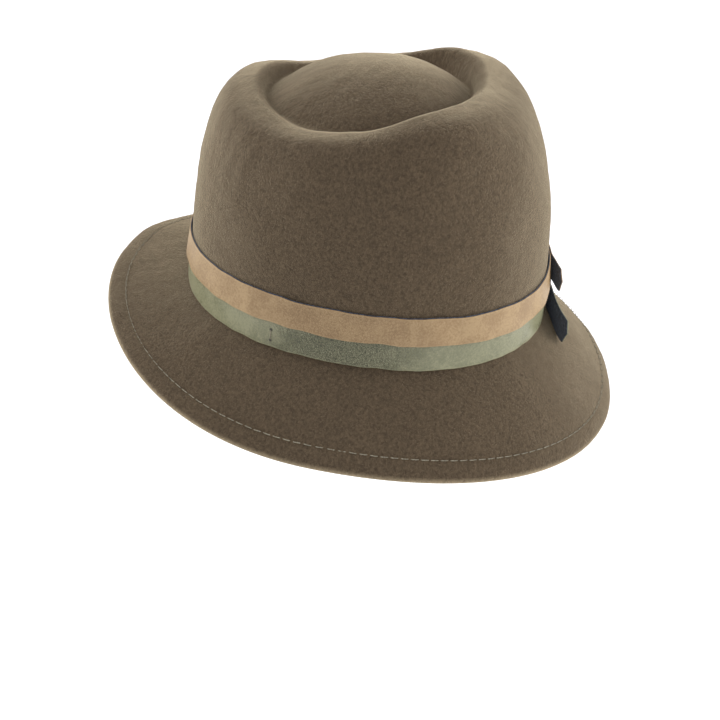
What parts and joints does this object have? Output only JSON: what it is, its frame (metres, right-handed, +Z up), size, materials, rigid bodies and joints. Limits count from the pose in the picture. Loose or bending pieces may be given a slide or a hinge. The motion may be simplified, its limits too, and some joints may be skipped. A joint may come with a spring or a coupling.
{
  "type": "felt trilby hat",
  "caption": "Felt hat with a tapered crown, a pressed groove round a domed tip, a turned-down brim with a stitched folded edge, and leatherette strips with loose tails.",
  "frame": {"origin": "centre of the head opening, in the plane where the crown breaks into the brim", "axes": "+Z up through the crown, -Y towards the front of the hat, +X towards the wearer's left"},
  "size_m": [0.2526, 0.3003, 0.1808],
  "materials": {
    "felt": "napped wool felt",
    "tan_leatherette": "satin, fine grain",
    "olive_leatherette": "satin, fine grain",
    "backing": "matt knit backing",
    "grosgrain": "ribbed ribbon",
    "thread": "twisted thread",
    "label_satin": "woven satin, blank",
    "steel": "drawn wire",
    "brass": "crimped tube"
  },
  "bodies": {
    "hat": {"felt_body": "felt", "brim_wire": "steel", "brim_wire_sleeve": "brass", "hem_top_thread": "thread", "hem_bobbin_thread": "thread", "olive_band_face": "olive_leatherette", "olive_band_backing": "backing", "tan_band_face": "tan_leatherette", "tan_band_backing": "backing", "lap_tack_stitches": "thread", "band_tack_stitch": "thread", "sweatband": "grosgrain", "sweatband_thread": "thread", "sweatband_bow": "grosgrain", "sweatband_bow_knot": "grosgrain"},
    "tan_tail": {"tan_tail_face": "tan_leatherette", "tan_tail_backing": "backing"},
    "olive_tail": {"olive_tail_face": "olive_leatherette", "olive_tail_backing": "backing"},
    "label": {"care_label": "label_satin"}
  },
  "joints": [
    {"name": "tan_tail_bend", "type": "hinge", "parent": "hat", "child": "tan_tail", "pos_m": [0.01292, -0.10121, 0.0321], "axis": [-0.014, 0.1511, 0.9884], "range_deg": [-8, 35], "stiffness_Nm_per_rad": 0.01},
    {"name": "olive_tail_bend", "type": "hinge", "parent": "hat", "child": "olive_tail", "pos_m": [0.01297, -0.10253, 0.0164], "axis": [-0.0016, 0.0614, 0.9981], "range_deg": [-2, 35], "stiffness_Nm_per_rad": 0.01},
    {"name": "label_swing", "type": "hinge", "parent": "hat", "child": "label", "pos_m": [0.03443, 0.08824, 0.0285], "axis": [-0.8847, 0.4662, 0], "range_deg": [0, 160]}
  ]
}
